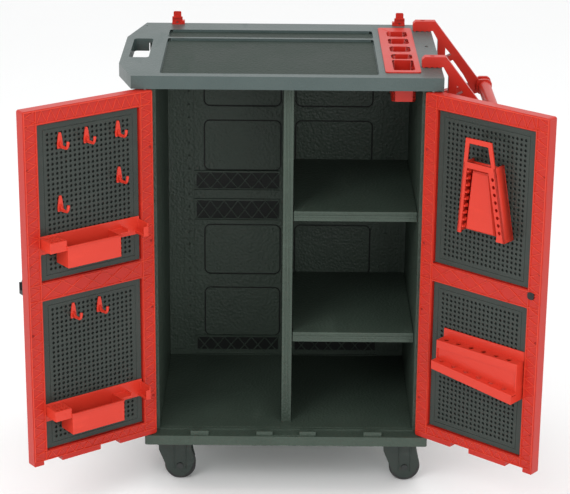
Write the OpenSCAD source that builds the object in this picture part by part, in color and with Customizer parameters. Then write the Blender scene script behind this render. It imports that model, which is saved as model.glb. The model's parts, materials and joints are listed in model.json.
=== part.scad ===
// Mobile tool cabinet cart in moulded plastic: castored base, pegboard doors,
// worktop with parts organiser and push handle. Units are millimetres, Z is up,
// X is to the right and the doors face -Y. The doors are modelled standing open.

/* [Overall] */
// Half width of the cabinet body
half_w = 315; // [290:1:340]
// Depth of the cabinet body behind its front opening
depth = 470; // [420:1:520]
// Height of the working surface above the floor
top_z = 960; // [900:1:1040]
// Underside of the base rim above the floor
base_z = 114; // [108:1:125]
// Height of the base rim
rim_h = 22; // [18:1:30]
// Thickness of the side panels
wall = 32; // [26:1:40]

/* [Worktop] */
// How far the worktop reaches past the cabinet on the left
over_left = 51; // [35:1:80]
// How far the worktop reaches past the cabinet on the right
over_right = 11; // [9:1:16]
// Height of the worktop edge
skirt = 28.5; // [22:0.5:40]
// Depth of the recessed tray in the worktop
recess = 6; // [3:0.5:7]
// Wall thickness of moulded skins
skin = 3; // [2:0.5:4]

/* [Doors] */
// Thickness of a door
door_t = 24; // [20:1:28]
// Width of the door frame members
stile = 33; // [26:1:40]
// Height of the middle rail of a door
mid_rail = 41; // [30:1:60]
// Opening angle of the left door as modelled
open_left = 143; // [90:1:170]
// Opening angle of the right door as modelled
open_right = 139; // [90:1:170]
// Radius of the hinge pins
pin_r = 3.5; // [3:0.1:4.5]

/* [Interior] */
// Set-back of the shelves and of the divider from the opening
set_back = 52; // [45:1:80]
// Thickness of a shelf
shelf_t = 23; // [16:1:30]
// Pitch of the shelf support holes
peg_pitch = 31.5; // [28:0.5:36]
// Radius of a shelf support peg
peg_r = 3; // [2.5:0.1:3.5]

/* [Handle] */
// Distance of the grip centre from the cabinet side
grip_out = 138; // [120:1:160]
// Height of the grip centre
grip_z = 832; // [815:1:850]
// Radius of the grip
grip_r = 15; // [12:0.5:18]
// Thickness of a handle bracket
bracket_t = 20; // [14:1:26]

/* [Casters] */
// Wheel radius
wheel_r = 35; // [30:0.5:40]
// Wheel width
wheel_w = 24; // [20:1:28]
// Distance between swivel axis and wheel axle
trail = 15; // [10:1:22]
// Radius of the wheel axle
axle_r = 4; // [3:0.1:5]

/* [Hidden] */
half_in = half_w - wall;
ledge_z = base_z + rim_h;
floor_z = ledge_z + 4;
slab_z = top_z - 10;
back_in = depth - 22;
door_in = 3;
wall_front = 10;
door_w = half_w - 1;
door_b = ledge_z + 2;
door_top = top_z - skirt - 2.5;
door_h = door_top - door_b;
knuckle = 11;
hinge_x = half_w - knuckle;
hinge_y = door_in + 1 - door_t / 2;
pocket_w = door_w - 2 * stile;
pocket_h = (door_h - 2 * stile - mid_rail) / 2;
low_z = door_b + stile;
high_z = low_z + pocket_h + mid_rail;
panel_v = 5;
fit = 0.06;
wt_left = -half_w - over_left;
wt_right = half_w + over_right;
wt_front = -16;
wt_back = depth + 9;
shelf_low = floor_z + 218;
shelf_high = shelf_low + 9 * peg_pitch;
peg_z0 = shelf_low - shelf_t - peg_r - 4 * peg_pitch;
bay_l = 13;
deck = 1;
keeper_out = 14;
clip_out = 3;
rack_out = 41;
rack_u = [68, door_w - stile - 2];
tray_u = [stile + 3, door_w - stile];
caster_x = half_w - 60;
caster_y = [55, depth - 58];
plate_z = 2 * wheel_r + 22;

// a point of a closed door, u from its hinge edge and w inwards, carried round as
// the door opens by a; s is -1 for the left door and 1 for the right one
function swung(s, a, u, w) =
  let (du = u - knuckle, dw = door_in + w - hinge_y)
  [s * (hinge_x - du * cos(a) - dw * sin(a)), hinge_y - du * sin(a) + dw * cos(a)];

// middle of the overall outline: keeper, door edge, screwdriver rack and rear clips
middle = [
  round((swung(-1, open_left, door_w, -door_t - keeper_out)[0]
    + swung(1, open_right, door_w, -door_t)[0]) / 2),
  round((swung(1, open_right, rack_u[1], rack_out)[1] + wt_back + clip_out) / 2)];

red = [0.82, 0.16, 0.12];
grey = [0.27, 0.31, 0.30];
lightgrey = [0.34, 0.39, 0.38];
black = [0.06, 0.06, 0.06];
steel = [0.6, 0.61, 0.62];

// ---------- helpers ----------
// everything is drawn about the middle of the cabinet's opening, and this sets the
// origin on the floor under the middle of the overall outline
module placed() {
  translate([-middle[0], -middle[1], 0]) children();
}

module box(a, b) {
  translate(a)
    cube([b[0] - a[0], b[1] - a[1], b[2] - a[2]]);
}

module rrect(x0, y0, x1, y1, r) {
  translate([x0 + r, y0]) square([x1 - x0 - 2 * r, y1 - y0]);
  translate([x0, y0 + r]) square([x1 - x0, y1 - y0 - 2 * r]);
  for (x = [x0 + r, x1 - r], y = [y0 + r, y1 - r])
    translate([x, y]) circle(r = r, $fn = 48);
}

// a rounded plate standing in the XZ plane, from y0 to y1
module upright(x0, z0, x1, z1, r, y0, y1) {
  translate([0, y1, 0])
    rotate([90, 0, 0])
      linear_extrude(y1 - y0) rrect(x0, z0, x1, z1, r);
}

// a round bar between y0 and y1
module bar_y(x, z, r, y0, y1) {
  translate([x, y1, z])
    rotate([90, 0, 0])
      cylinder(r = r, h = y1 - y0, $fn = 48);
}

// a round bar between x0 and x1
module bar_x(y, z, r, x0, x1) {
  translate([x0, y, z])
    rotate([0, 90, 0])
      cylinder(r = r, h = x1 - x0, $fn = 48);
}

// ---------- cabinet body ----------
tab_spans = [[30, 66], [173, 213]];

module base_platform() {
  color(grey)
    difference() {
      union() {
        translate([0, 0, base_z])
          linear_extrude(rim_h) rrect(-half_w, -22, half_w, depth, 6);
        translate([0, 0, ledge_z - 1])
          linear_extrude(5) rrect(-half_w, wall_front + 2, half_w, depth, 6);
        for (s = [-1, 1], t = tab_spans)
          box([s > 0 ? t[0] : -t[1], -17, ledge_z - 1],
              [s > 0 ? t[1] : -t[0], -9, ledge_z + 10]);
        box([-31, -17, ledge_z - 1], [31, -9, ledge_z + 1.4]);
        for (b = [[2 - half_in, -bay_l], [bay_l, half_in - 2]])
          box([b[0], wall_front + 10, floor_z - 1], [b[1], back_in - 2, floor_z + deck]);
        for (x = [-caster_x, caster_x], y = caster_y)
          box([x - 36, y - 32, plate_z + 3], [x + 36, y + 32, base_z + 4]);
      }
      difference() {
        box([-half_w + 3, -19, base_z - 1], [half_w - 3, depth - 3, ledge_z - 4]);
        for (x = [-caster_x, caster_x], y = caster_y)
          box([x - 36, y - 32, base_z - 2], [x + 36, y + 32, ledge_z]);
        for (x = [-150, 0, 150])
          box([x - 1.5, -20, base_z + 6], [x + 1.5, depth, ledge_z]);
        for (y = [130, 240, 345])
          box([-half_w, y - 1.5, base_z + 6], [half_w, y + 1.5, ledge_z]);
        for (x = [-hinge_x, hinge_x])
          translate([x, hinge_y, base_z]) cylinder(r = 9.5, h = 30, $fn = 48);
      }
      for (x = [-hinge_x, hinge_x])
        translate([x, hinge_y, ledge_z - 14]) cylinder(r = pin_r, h = 30, $fn = 48);
      for (x = [-caster_x, caster_x], y = caster_y) {
        translate([x, y, plate_z]) cylinder(r = 10, h = 26, $fn = 48);
        for (a = [-1, 1], b = [-1, 1])
          translate([x + 26 * a, y + 22 * b, plate_z]) cylinder(r = 2, h = 18, $fn = 24);
      }
    }
}

// one side panel, drawn for the right: web inside, open ribs outside
module side_panel(notch) {
  difference() {
    union() {
      box([half_in, wall_front, floor_z], [half_in + 8, depth, slab_z]);
      box([half_in, wall_front, floor_z], [half_w, wall_front + 34, slab_z]);
      box([half_in, depth - 30, floor_z], [half_w, depth, slab_z]);
      box([half_in, wall_front, floor_z], [half_w, depth, floor_z + 34]);
      box([half_in, wall_front, slab_z - 22], [half_w, depth, slab_z]);
      for (z = [360, 470, 620, 730])
        box([half_in, wall_front, z], [half_w - 6, depth, z + 4]);
      for (y = [150, 246, 342])
        box([half_in, y - 2, floor_z], [half_w - 6, y + 2, slab_z]);
      box([half_in, wall_front, grip_z - 45], [half_w, depth, grip_z - 5]);
    }
    if (notch)
      box([half_in + 17, 132, slab_z - 60], [half_w + 1, 334, slab_z + 1]);
    for (i = [0 : 22])
      bar_x(110, peg_z0 + i * peg_pitch, peg_r + fit, half_in - 1, half_in + 7.5);
    bar_y(half_in + 16, floor_z + 17, 2, depth - 18, depth + 1);
    if (!notch)
      for (y = hy, s = [-14, 14])
        bar_x(y + s, grip_z - 27, 2.2, half_w - 16, half_w + 1);
  }
}

module side_panel_left() {
  color(grey) mirror([1, 0, 0]) side_panel(true);
}

module side_panel_right() {
  color(grey) side_panel(false);
}

pads = [[floor_z + 53, floor_z + 174], [floor_z + 213, floor_z + 334],
  [floor_z + 474, floor_z + 593], [floor_z + 632, slab_z - 40]];

module back_panel() {
  color(grey)
    difference() {
      union() {
        box([-half_in, back_in + 2, floor_z], [half_in, back_in + 6, slab_z]);
        for (x = [-half_in, half_in - 14])
          box([x, back_in, floor_z], [x + 14, depth - 4, slab_z]);
        for (z = [floor_z, slab_z - 14])
          box([-half_in, back_in, z], [half_in, depth - 4, z + 14]);
        for (s = [-1, 1], p = pads)
          upright(s > 0 ? 19 : -196, p[0], s > 0 ? 196 : -19, p[1], 12, back_in, back_in + 4);
        box([-13, back_in, floor_z], [13, back_in + 4, slab_z]);
        for (s = [-1, 1])
          box([s * 235 - 12, back_in, floor_z], [s * 235 + 12, back_in + 10, slab_z]);
        for (z = [floor_z + 200, floor_z + 400, floor_z + 600])
          box([-half_in, back_in + 4, z], [half_in, depth - 8, z + 4]);
        for (x = [-150, 0, 150])
          box([x - 2, back_in + 4, floor_z], [x + 2, depth - 8, slab_z]);
      }
      for (s = [-1, 1], i = [0 : 22])
        bar_y(s * 235, peg_z0 + i * peg_pitch, peg_r + fit, back_in - 1, back_in + 8);
    }
}

module divider_panel() {
  color(grey)
    difference() {
      union() {
        box([-4, set_back, floor_z], [4, back_in, slab_z]);
        box([-11, set_back, floor_z], [11, set_back + 24, slab_z]);
        box([-11, back_in - 16, floor_z], [11, back_in, slab_z]);
        box([-11, set_back, floor_z], [11, back_in, floor_z + 20]);
        box([-11, set_back, slab_z - 20], [11, back_in, slab_z]);
        for (y = [130, 385])
          box([-11, y - 9, floor_z], [11, y + 9, slab_z]);
        for (z = [360, 640])
          box([-8, set_back, z], [8, back_in, z + 4]);
      }
      for (x = [-5, 2])
        box([x, set_back - 1, floor_z + 6], [x + 3, set_back + 1, slab_z - 2]);
      for (y = [130, 385], i = [0 : 22])
        bar_x(y, peg_z0 + i * peg_pitch, peg_r + fit, -12, 12);
    }
}

// hollow shelf with a ribbed front lip, z is its top
module shelf(z) {
  y1 = back_in - 2;
  color(grey) {
    box([bay_l, set_back, z - 3], [half_in - 1, y1, z]);
    box([bay_l, set_back, z - shelf_t], [half_in - 1, set_back + 4, z]);
    box([bay_l, y1 - 3, z - shelf_t], [half_in - 1, y1, z]);
    box([bay_l, set_back, z - shelf_t], [bay_l + 4, y1, z]);
    box([half_in - 5, set_back, z - shelf_t], [half_in - 1, y1, z]);
    box([bay_l, set_back - 1.5, z - 5], [half_in - 1, set_back, z]);
    box([bay_l, set_back - 1.5, z - 14], [half_in - 1, set_back, z - 9]);
    for (x = [80, 148, 216])
      box([x - 1.5, set_back, z - shelf_t + 5], [x + 1.5, y1, z]);
    for (y = [160, 255, 350])
      box([bay_l, y - 1.5, z - shelf_t + 5], [half_in - 1, y + 1.5, z]);
  }
}

module upper_shelf() {
  shelf(shelf_high);
}

module lower_shelf() {
  shelf(shelf_low);
}

// pegs under both shelves: side panel, back panel and divider
module shelf_pegs() {
  color(black)
    for (z = [shelf_low, shelf_high]) {
      pz = z - shelf_t - peg_r;
      bar_x(110, pz, peg_r, half_in - 9, half_in + 7.5);
      bar_y(235, pz, peg_r, back_in - 9, back_in + 8);
      for (y = [130, 385])
        bar_x(y, pz, peg_r, 2, 21);
    }
}

wt_outline = [[wt_left, 90], [wt_left + 33, wt_front], [wt_right, wt_front],
  [wt_right, wt_back], [wt_left + 35, wt_back], [wt_left, 335]];
wt_inner = [[wt_left + skin, 90.5], [wt_left + 35, wt_front + skin],
  [wt_right - skin, wt_front + skin], [wt_right - skin, wt_back - skin],
  [wt_left + 37.5, wt_back - skin], [wt_left + skin, 334.6]];
org_x = [204, 280];
org_y = [24, 436];
clip_x = [-260, 256];

module worktop() {
  color(lightgrey)
    difference() {
      union() {
        translate([0, 0, slab_z]) linear_extrude(10) polygon(wt_outline);
        difference() {
          translate([0, 0, top_z - skirt]) linear_extrude(skirt - 5) polygon(wt_outline);
          translate([0, 0, top_z - skirt - 1]) linear_extrude(skirt) polygon(wt_inner);
        }
        for (x = [-hinge_x, hinge_x])
          box([x - 11, wt_front + 1, top_z - skirt], [x + 11, wall_front - 1, slab_z + 1]);
        box([half_w + 1, 70, top_z - skirt], [wt_right - 1, 94, slab_z + 1]);
        box([half_w + 1, 408, top_z - skirt], [wt_right - 1, 432, slab_z + 1]);
        translate([0, 0, top_z - skirt])
          linear_extrude(skirt - 1) rrect(wt_left + 14, 142, wt_left + 64, 324, 10);
      }
      translate([0, 0, top_z - recess])
        linear_extrude(20) rrect(-274, 8, 190, 327, 8);
      translate([0, 0, top_z - recess])
        linear_extrude(20) rrect(-274, 338, 190, 411, 8);
      translate([0, 0, slab_z - 1])
        linear_extrude(20) rrect(org_x[0] + 5, org_y[0] + 7, org_x[1] - 6, org_y[1] - 7, 6);
      translate([0, 0, top_z - skirt - 1])
        linear_extrude(skirt + 3) rrect(wt_left + 17, 146, wt_left + 60, 320, 8);
      translate([0, 0, top_z - skirt - 1])
        linear_extrude(skirt - 9) rrect(-half_w - 1, 120, -half_in, 345, 1);
      for (x = [-hinge_x, hinge_x])
        translate([x, hinge_y, top_z - skirt - 1]) cylinder(r = pin_r, h = 15, $fn = 48);
      for (p = [[306, 268, 4], [306, hy[1], 2.2], [306, hy[0], 2.2], [-329, 448, 2.2],
                [clip_x[0], wt_back - 12, 1.6], [clip_x[1], wt_back - 12, 1.6]])
        translate([p[0], p[1], top_z - 6]) cylinder(r = p[2], h = 10, $fn = 24);
    }
}

// drop-in organiser: four round-ended cups and one deep bin
cups = [[347, 397], [278, 328], [204, 254], [139, 182]];

module cup(y0, y1, z) {
  translate([0, 0, z]) linear_extrude(80) rrect(222, y0, 268, y1, 10);
}

module parts_organizer() {
  x0 = org_x[0];
  x1 = org_x[1];
  color(red)
    difference() {
      union() {
        translate([0, 0, top_z]) linear_extrude(2.5) rrect(x0, org_y[0], x1, org_y[1], 8);
        translate([0, 0, top_z - 34])
          linear_extrude(35) rrect(x0 + 6, org_y[0] + 8, x1 - 7, org_y[1] - 8, 6);
        translate([0, 0, top_z - 66])
          linear_extrude(67) rrect(219, 38, 271, 132, 8);
      }
      for (c = cups)
        cup(c[0], c[1], top_z - 31);
      translate([0, 0, top_z - 63.5]) linear_extrude(90) rrect(222, 41, 268, 129, 6);
      difference() {
        translate([0, 0, top_z - 35])
          linear_extrude(33) rrect(x0 + 8.5, org_y[0] + 10.5, x1 - 9.5, org_y[1] - 10.5, 4);
        for (c = cups)
          translate([0, 0, top_z - 36])
            linear_extrude(40) rrect(219.5, c[0] - 2.5, 270.5, c[1] + 2.5, 12);
        translate([0, 0, top_z - 70]) linear_extrude(80) rrect(219, 38, 271, 132, 8);
      }
    }
}

// ---------- push handle ----------
gx = half_w + grip_out;
leg_x = wt_right + 16;

// side view of a bracket: arm on the worktop, strut with two openings, leg and foot
module bracket_profile() {
  difference() {
    union() {
      polygon([[284, top_z + 1.5], [wt_right + 4, top_z + 1.5], [leg_x, top_z - 20],
        [leg_x, grip_z - 20], [half_w + 0.0, grip_z - 20], [half_w, grip_z - 38],
        [leg_x + 14, grip_z - 38], [gx - 8, grip_z - 14], [gx + 2, grip_z - 4],
        [gx + 2, grip_z + 6], [gx - 14, grip_z + 16],
        [wt_right + 9, top_z + 24], [290, top_z + 24], [284, top_z + 18]]);
    }
    polygon([[leg_x + 18, top_z - 38], [leg_x + 18, top_z - 61], [leg_x + 32, top_z - 54]]);
    polygon([[leg_x + 12, top_z - 78], [leg_x + 12, grip_z - 14],
      [gx - 36, grip_z + 4], [gx - 50, grip_z + 28], [leg_x + 36, top_z - 66]]);
  }
}

module bracket(yc) {
  t = bracket_t;
  color(red)
    difference() {
      union() {
        translate([0, yc + t / 2, 0])
          rotate([90, 0, 0]) linear_extrude(t) bracket_profile();
        for (x = [286, 298, 310, 319])
          box([x, yc - t / 2, top_z], [x + 5, yc + t / 2, top_z + 3]);
        box([half_w, yc - 19, grip_z - 42], [half_w + 5, yc + 19, grip_z - 12]);
      }
      bar_y(gx, grip_z, grip_r + fit, yc - 30, yc + 30);
      translate([306, yc, top_z - 1]) cylinder(r = 2.6, h = 40, $fn = 24);
      translate([306, yc, top_z + 20]) cylinder(r = 5, h = 10, $fn = 24);
      for (y = [yc - 14, yc + 14])
        bar_x(y, grip_z - 27, 2.6, half_w - 1, half_w + 8);
    }
}

hy = [82, 420];

module handle_bracket_front() {
  bracket(hy[0]);
}

module handle_bracket_rear() {
  bracket(hy[1]);
}

// moulded grip: round bar with flattened clamp heads over the bracket ends
module handle_grip() {
  color(red)
    difference() {
      union() {
        bar_y(gx, grip_z, grip_r, hy[0] - 22, hy[1] + 22);
        for (y = hy)
          for (s = [-1, 1])
            translate([0, y + s * (bracket_t / 2 + 4.3) + 4, 0])
              rotate([90, 0, 0])
                linear_extrude(8)
                  rrect(gx - 19, grip_z - 17, gx + 17, grip_z + 18, 12);
      }
      for (y = hy)
        bar_y(gx, grip_z, 4, y - 60, y - 22.5 - 10);
    }
}

module screw_z(x, y, z, r, l) {
  translate([x, y, z - l]) cylinder(r = r, h = l, $fn = 24);
  translate([x, y, z]) cylinder(r = r * 1.8, h = r, $fn = 24);
}

module screw_x(x, y, z, r, l) {
  bar_x(y, z, r, x - l, x);
  bar_x(y, z, r * 1.8, x, x + r);
}

module handle_screws() {
  color(steel)
    for (y = hy) {
      screw_z(306, y, top_z + 20, 2.2, 25);
      for (s = [-14, 14])
        screw_x(half_w + 5, y + s, grip_z - 27, 2.2, 20);
    }
}

// holder clip standing on the back edge, s = side of its ear
module rear_clip(x, s) {
  y0 = wt_back - 16;
  color(red)
    difference() {
      union() {
        box([x - 12, y0, top_z], [x + 12, wt_back, top_z + 4]);
        box([x - 12, y0 + 8, top_z], [x + 12, y0 + 13, top_z + 16]);
        upright(x - 9, top_z + 2, x + 9, top_z + 29, 3, y0 + 9, y0 + 12);
        box([x - 10, y0 + 4, top_z + 14], [x + 10, y0 + 13, top_z + 17]);
        box([s > 0 ? x + 9 : x - 17, y0 + 2, top_z], [s > 0 ? x + 17 : x - 9, wt_back, top_z + 8]);
        box([x - 9, wt_back, top_z - 12], [x + 9, wt_back + clip_out, top_z + 4]);
      }
      translate([x, y0 + 4, top_z - 1]) cylinder(r = 1.6, h = 8, $fn = 24);
    }
}

module rear_clip_left() {
  rear_clip(clip_x[0], 1);
}

module rear_clip_right() {
  rear_clip(clip_x[1], -1);
}

// ---------- hinge pins and fasteners ----------
module hinge_pins() {
  color(steel)
    for (x = [-hinge_x, hinge_x]) {
      translate([x, hinge_y, ledge_z - 14])
        cylinder(r = pin_r, h = 28, $fn = 48);
      translate([x, hinge_y, ledge_z])
        cylinder(r = 6.5, h = 1.6, $fn = 48);
      translate([x, hinge_y, door_top - 12])
        cylinder(r = pin_r, h = skirt - 1, $fn = 48);
    }
}

module body_screws() {
  color(steel) {
    for (x = [-half_in - 16, half_in + 16])
      translate([x, depth, floor_z + 17])
        rotate([90, 0, 0]) {
          translate([0, 0, 0]) cylinder(r = 2, h = 16, $fn = 24);
          translate([0, 0, -2]) cylinder(r = 4, h = 2, $fn = 24);
        }
    for (x = clip_x)
      screw_z(x, wt_back - 12, top_z + 4, 1.6, 9);
  }
}

// ---------- doors ----------
// places children drawn for a closed left door at its modelled angle
module left_door() {
  translate([-hinge_x, hinge_y, 0])
    rotate([0, 0, -open_left])
      translate([hinge_x, -hinge_y, 0])
        children();
}

module right_door() {
  translate([hinge_x, hinge_y, 0])
    rotate([0, 0, open_right])
      translate([-hinge_x, -hinge_y, 0])
        children();
}

// box in door coordinates: u from the hinge edge, w out of the inner face, z up
module dbox(u, w, z) {
  box([-half_w + u[0], door_in + w[0], z[0]], [-half_w + u[1], door_in + w[1], z[1]]);
}

module dplate(u, w, z, r) {
  upright(-half_w + u[0], z[0], -half_w + u[1], z[1], r, door_in + w[0], door_in + w[1]);
}

// a vertical round bar or hole in door coordinates
module dpost(u, w, r, z0, z1) {
  translate([-half_w + u, door_in + w, z0]) cylinder(r = r, h = z1 - z0, $fn = 32);
}

module door_frame() {
  difference() {
    dplate([0, door_w], [-door_t, 0], [door_b, door_top], 5);
    for (z = [low_z, high_z]) {
      dplate([stile, door_w - stile], [-8, 1], [z, z + pocket_h], 3);
      dplate([stile + 5, door_w - stile - 5], [3 - door_t, 1], [z + 5, z + pocket_h - 5], 3);
    }
    for (z = [[door_b - 1, door_b + 13], [door_top - 13, door_top + 1]])
      dpost(knuckle, hinge_y - door_in, pin_r + fit, z[0], z[1]);
    for (t = tab_spans)
      dbox([door_w + 1 - t[1] - 5, door_w + 1 - t[0] + 5], [3 - door_t, 1], [door_b - 1, ledge_z + 12.5]);
    dbox([door_w - 40, door_w + 1], [3 - door_t, 1], [door_b - 1, door_b + 1.4]);
    for (u = [8, door_w - 8], z = [high_z + 40, high_z + 250, low_z + 60, low_z + 270])
      translate([-half_w + u, door_in, z])
        rotate([90, 0, 0]) cylinder(r = 1.5, h = 10, $fn = 16);
  }
}

// plate with holes for the pegs of whatever hangs on it
module pegboard(z, holes) {
  difference() {
    dplate([stile + 0.5, door_w - stile - 0.5], [-8, -panel_v], [z + 0.5, z + pocket_h - 0.5], 2.5);
    for (h = holes)
      translate([-half_w + h[0], door_in + 2, z + h[1]])
        rotate([90, 0, 0]) cylinder(r = 2, h = 20, $fn = 24);
  }
}

// hook positions [u, height of the plate top above the window]
hooks_up = [[226, 318], [162, 319], [85, 320], [84, 219], [229, 182]];
hooks_low = [[205, 322], [140, 322]];

function hook_holes(hs) = [for (h = hs, d = [6, 27]) [h[0], h[1] - d]];

tray_pegs = [tray_u[0] + 24, tray_u[1] - 21];

function tray_holes(v) = [for (u = tray_pegs) [u, v]];

tray_up = 101;
tray_low = 106;

module left_door_frame() {
  color(red) left_door() door_frame();
}

module left_upper_pegboard() {
  color(grey) left_door() pegboard(high_z, concat(hook_holes(hooks_up), tray_holes(tray_up - 22)));
}

module left_lower_pegboard() {
  color(grey) left_door() pegboard(low_z, concat(hook_holes(hooks_low), tray_holes(tray_low - 22)));
}

// one hook: pointed back plate, arm with an upturned end, two pegs in the board
module hook(u, z) {
  p = -panel_v;
  translate([-half_w + u, door_in + p, z])
    rotate([90, 0, 180])
      linear_extrude(2.5)
        polygon([[-7, -34], [7, -34], [7, -9], [3, 0], [-3, 0], [-7, -9]]);
  dbox([u - 4, u + 4], [p + 2, p + 36], [z - 30, z - 25]);
  dbox([u - 4, u + 4], [p + 32, p + 36], [z - 30, z - 14]);
  dbox([u - 1.5, u + 1.5], [p + 2, p + 14], [z - 26, z - 14]);
  for (d = [6, 27])
    translate([-half_w + u, door_in + p + 1, z - d])
      rotate([90, 0, 0]) cylinder(r = 1.95, h = 5, $fn = 24);
}

module left_door_hooks() {
  color(red)
    left_door() {
      for (h = hooks_up)
        hook(h[0], high_z + h[1]);
      for (h = hooks_low)
        hook(h[0], low_z + h[1]);
    }
}

// door tray: rail, bit block with holes, open bin, lip and end gusset; z is its top
module tray(z) {
  p = -panel_v;
  a = tray_u[0];
  b = tray_u[1];
  difference() {
    union() {
      dbox([a, b], [p, p + 3], [z - 40, z]);
      dbox([b - 40, b], [p, 40], [z - 26, z - 3]);
      dbox([b - 170, b - 40], [p, 43], [z - 64, z - 17]);
      dbox([b - 202, b - 169], [p, 26], [z - 22, z - 19]);
      dbox([b - 202, b - 199], [p, 26], [z - 22, z - 14]);
      dbox([a, a + 12], [p, 34], [z - 36, z - 30]);
      dbox([a, a + 3], [p, 34], [z - 36, z - 6]);
      dbox([a, a + 12], [31, 34], [z - 36, z - 14]);
    }
    dbox([b - 167.5, b - 42.5], [p + 3, 40.5], [z - 61.5, z]);
    dbox([b - 37.5, b - 2.5], [p + 3, 37.5], [z - 30, z - 6]);
    for (u = [b - 31, b - 20, b - 9], w = [8, 20, 32])
      dpost(u, w, 3.6, z - 12, z + 1);
  }
  for (u = tray_pegs)
    translate([-half_w + u, door_in + p + 1, z - 22])
      rotate([90, 0, 0]) cylinder(r = 1.95, h = 5, $fn = 24);
}

module left_upper_tray() {
  color(red) left_door() tray(high_z + tray_up);
}

module left_lower_tray() {
  color(red) left_door() tray(low_z + tray_low);
}

latch_z = low_z + pocket_h + mid_rail / 2 + 10;

// keeper on the outer face of the left door; the turning latch drops into it
module left_door_keeper() {
  o = -door_t;
  color(black)
    left_door() {
      difference() {
        dplate([door_w - 28, door_w], [o - keeper_out, o], [latch_z - 18, latch_z + 18], 3);
        dbox([door_w - 22, door_w + 1], [o - 10, o - 2.5], [latch_z - 7, latch_z + 20]);
        dbox([door_w - 18, door_w + 1], [o - 15, o - 2.5], [latch_z + 9, latch_z + 20]);
      }
    }
}

module frame_screws() {
  for (u = [8, door_w - 8], z = [high_z + 40, high_z + 250, low_z + 60, low_z + 270])
    translate([-half_w + u, door_in, z]) {
      rotate([90, 0, 0]) cylinder(r = 1.5, h = 10, $fn = 16);
      rotate([-90, 0, 0]) cylinder(r = 3, h = 1.2, $fn = 16);
    }
}

module left_door_screws() {
  color(steel) left_door() frame_screws();
}

module as_right() {
  right_door() mirror([1, 0, 0]) children();
}

module right_door_frame() {
  color(red)
    difference() {
      as_right() door_frame();
      as_right()
        translate([-half_w + door_w - 24, door_in + 1, latch_z])
          rotate([90, 0, 0]) cylinder(r = 4 + fit, h = 40, $fn = 48);
    }
}

wr_holes = [[150, 300], [150, 150], [205, 150]];
dr_holes = [[rack_u[0] + 12, 232], [rack_u[1] - 12, 232]];

module right_upper_pegboard() {
  color(grey) as_right() pegboard(high_z, wr_holes);
}

module right_lower_pegboard() {
  color(grey) as_right() pegboard(low_z, dr_holes);
}

// spanner rack: tapering ladder of notched steps with a carrying loop on top
module wrench_rack() {
  p = -panel_v;
  z0 = high_z + 98;
  h = 208;
  n = 8;
  color(red)
    as_right()
      difference() {
        union() {
          translate([-half_w, door_in + p + 3, 0])
            rotate([90, 0, 0])
              linear_extrude(3)
                polygon([[115, z0], [236, z0], [193, z0 + h], [129, z0 + h]]);
          for (e = [[115, 129, 9], [236, 193, -9]])
            translate([-half_w, door_in + 30, 0])
              rotate([90, 0, 0])
                linear_extrude(30 - p)
                  polygon([[e[0], z0], [e[0] + e[2] * 2.2, z0],
                    [e[1] + e[2], z0 + h - 26], [e[1], z0 + h - 26]]);
          translate([-half_w, door_in + 14, 0])
            rotate([90, 0, 0])
              linear_extrude(14 - p)
                polygon([[150, z0 + 6], [196, z0 + 6], [173, z0 + h - 34], [157, z0 + h - 34]]);
          dbox([115, 236], [p, 30], [z0, z0 + 4]);
        }
        translate([-half_w, door_in + 60, 0])
          rotate([90, 0, 0])
            linear_extrude(90)
              rrect(139, z0 + h - 18, 184, z0 + h - 6, 5);
        for (i = [0 : n - 1]) {
          zz = z0 + 18 + i * (h - 56) / (n - 1);
          s = (zz - z0) / h;
          dbox([115 + 14 * s - 1, 140 + 12 * s], [16, 40], [zz, zz + 9]);
          dbox([211 - 28 * s, 237 - 43 * s + 1], [16, 40], [zz, zz + 9]);
        }
      }
  color(red)
    as_right()
      for (q = wr_holes)
        translate([-half_w + q[0], door_in + p + 1, high_z + q[1]])
          rotate([90, 0, 0]) cylinder(r = 1.95, h = 5, $fn = 24);
}

// screwdriver rack: a level upper step and a sloping, deeper lower step
module driver_rack() {
  p = -panel_v;
  z1 = low_z + 241;
  a = rack_u[0];
  b = rack_u[1];
  pitch = (b - a - 46) / 5;
  color(red)
    as_right()
      difference() {
        union() {
          translate([-half_w, door_in + p + 3, 0])
            rotate([90, 0, 0])
              linear_extrude(3)
                polygon([[a, z1 - 82], [b, z1 - 106], [b, z1], [a, z1]]);
          dbox([a, b], [p, 24], [z1 - 23, z1 - 20]);
          dbox([a, b], [21, 24], [z1 - 38, z1 - 20]);
          translate([-half_w, door_in + rack_out, 0])
            rotate([90, 0, 0])
              linear_extrude(rack_out - p)
                polygon([[a, z1 - 66], [b, z1 - 88], [b, z1 - 84.5], [a, z1 - 62.5]]);
          translate([-half_w, door_in + rack_out, 0])
            rotate([90, 0, 0])
              linear_extrude(3)
                polygon([[a, z1 - 82], [b, z1 - 106], [b, z1 - 84.5], [a, z1 - 62.5]]);
          for (u = [[a, a + 3, 82], [b - 3, b, 106]]) {
            dbox([u[0], u[1]], [p, rack_out], [z1 - u[2], z1 - u[2] + 16]);
            dbox([u[0], u[1]], [p, 24], [z1 - u[2], z1 - 20]);
          }
        }
        for (i = [0 : 5]) {
          dpost(a + 17 + i * pitch, 11.5, 6, z1 - 30, z1 - 10);
          dpost(a + 17 + i * pitch, 27, 6, z1 - 100, z1 - 50);
        }
      }
  color(red)
    as_right()
      for (q = dr_holes)
        translate([-half_w + q[0], door_in + p + 1, low_z + q[1]])
          rotate([90, 0, 0]) cylinder(r = 1.95, h = 5, $fn = 24);
}

module right_door_screws() {
  color(steel) as_right() frame_screws();
}

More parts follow.
